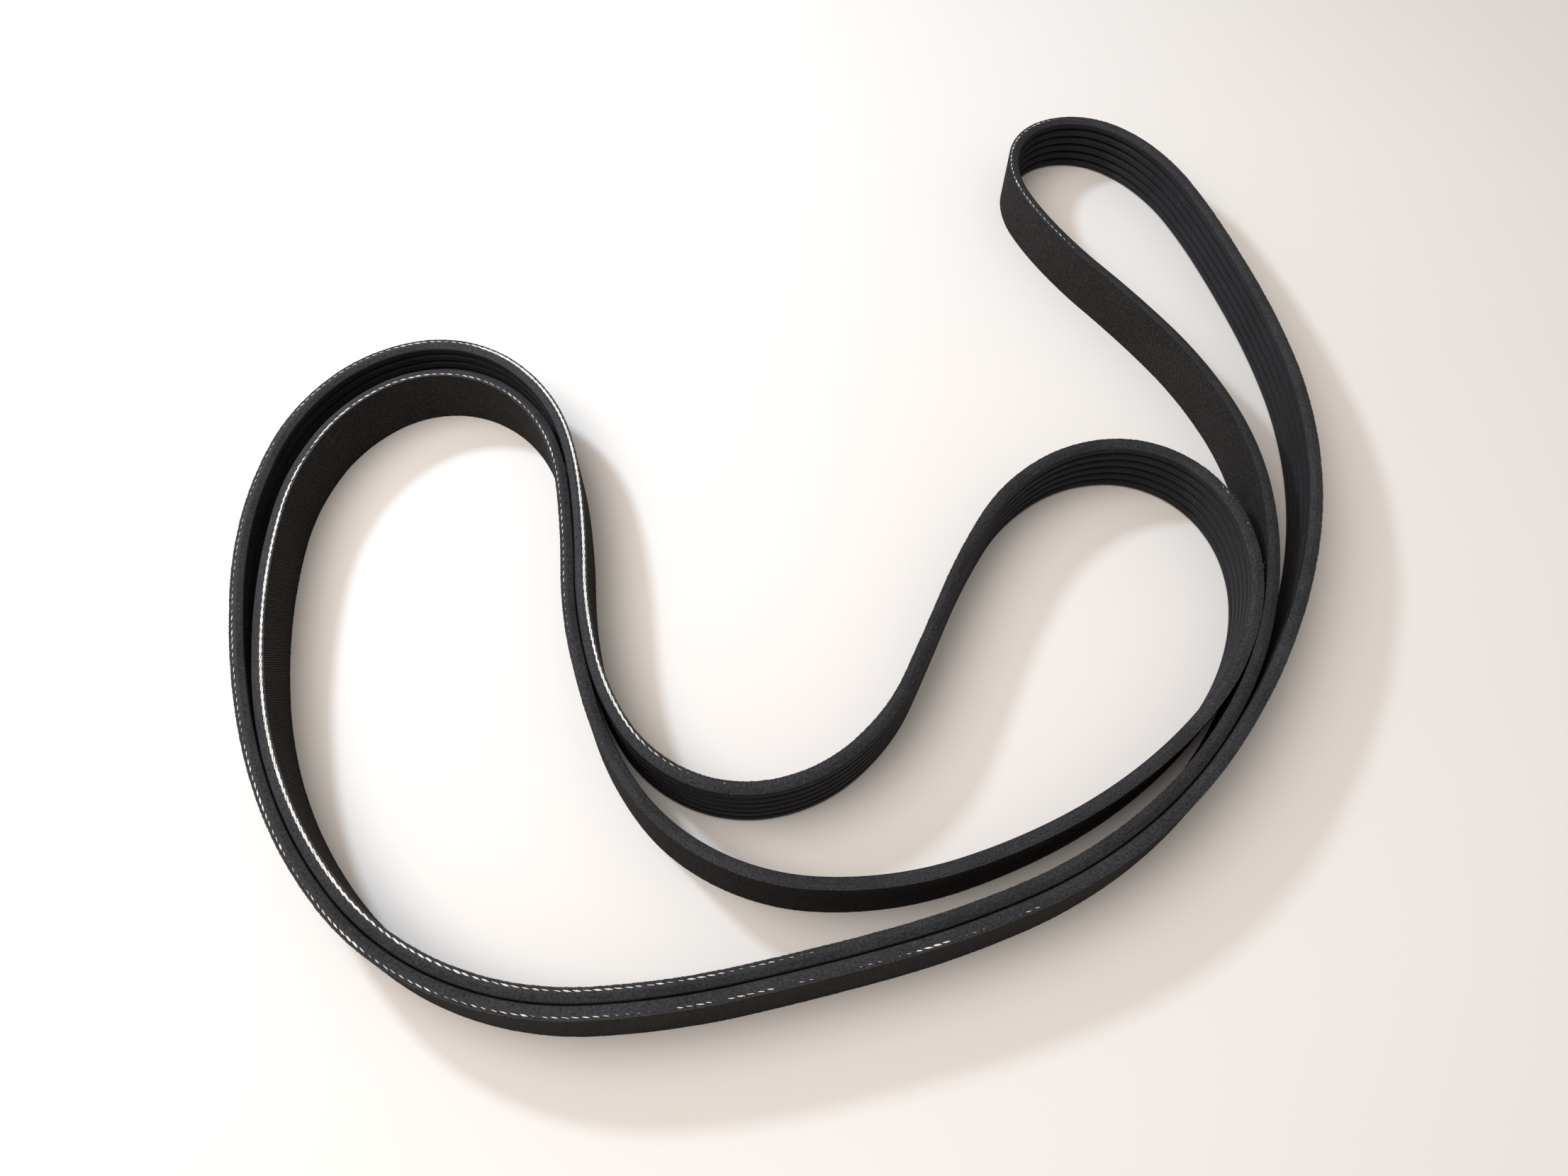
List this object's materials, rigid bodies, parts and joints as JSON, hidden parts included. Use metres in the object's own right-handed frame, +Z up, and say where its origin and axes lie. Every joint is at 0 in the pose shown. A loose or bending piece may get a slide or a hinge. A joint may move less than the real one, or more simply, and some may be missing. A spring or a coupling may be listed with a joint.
{
  "type": "v-ribbed belt",
  "caption": "Endless multi-rib drive belt with lengthwise V ribs, resting on its edge in a loose looping curve.",
  "frame": {"origin": "centre of the footprint, on the resting edge", "axes": "+X to the right of the layout, +Y away from the viewer towards the narrow loop, +Z up across the belt's width"},
  "size_m": [0.353, 0.3564, 0.0214],
  "materials": {
    "backing_fabric": "rubberised twill, matt",
    "cushion_rubber": "matt, cut face",
    "rib_rubber": "matt, ground ribs",
    "tension_cord": "twisted polyester cord"
  },
  "bodies": {
    "root": {"back_cover": "backing_fabric", "cushion_rubber": "cushion_rubber", "rib_layer": "rib_rubber", "tension_cord_lap_01": "tension_cord", "tension_cord_lap_02": "tension_cord", "tension_cord_lap_03": "tension_cord", "tension_cord_lap_04": "tension_cord", "tension_cord_lap_05": "tension_cord", "tension_cord_lap_06": "tension_cord", "tension_cord_lap_07": "tension_cord", "tension_cord_lap_08": "tension_cord", "tension_cord_lap_09": "tension_cord", "tension_cord_lap_10": "tension_cord", "tension_cord_lap_11": "tension_cord", "tension_cord_lap_12": "tension_cord", "tension_cord_lap_13": "tension_cord", "tension_cord_lap_14": "tension_cord", "tension_cord_lap_15": "tension_cord", "tension_cord_lap_16": "tension_cord", "tension_cord_lap_17": "tension_cord", "tension_cord_lap_18": "tension_cord", "tension_cord_lap_19": "tension_cord", "tension_cord_lap_20": "tension_cord"}
  },
  "joints": []
}
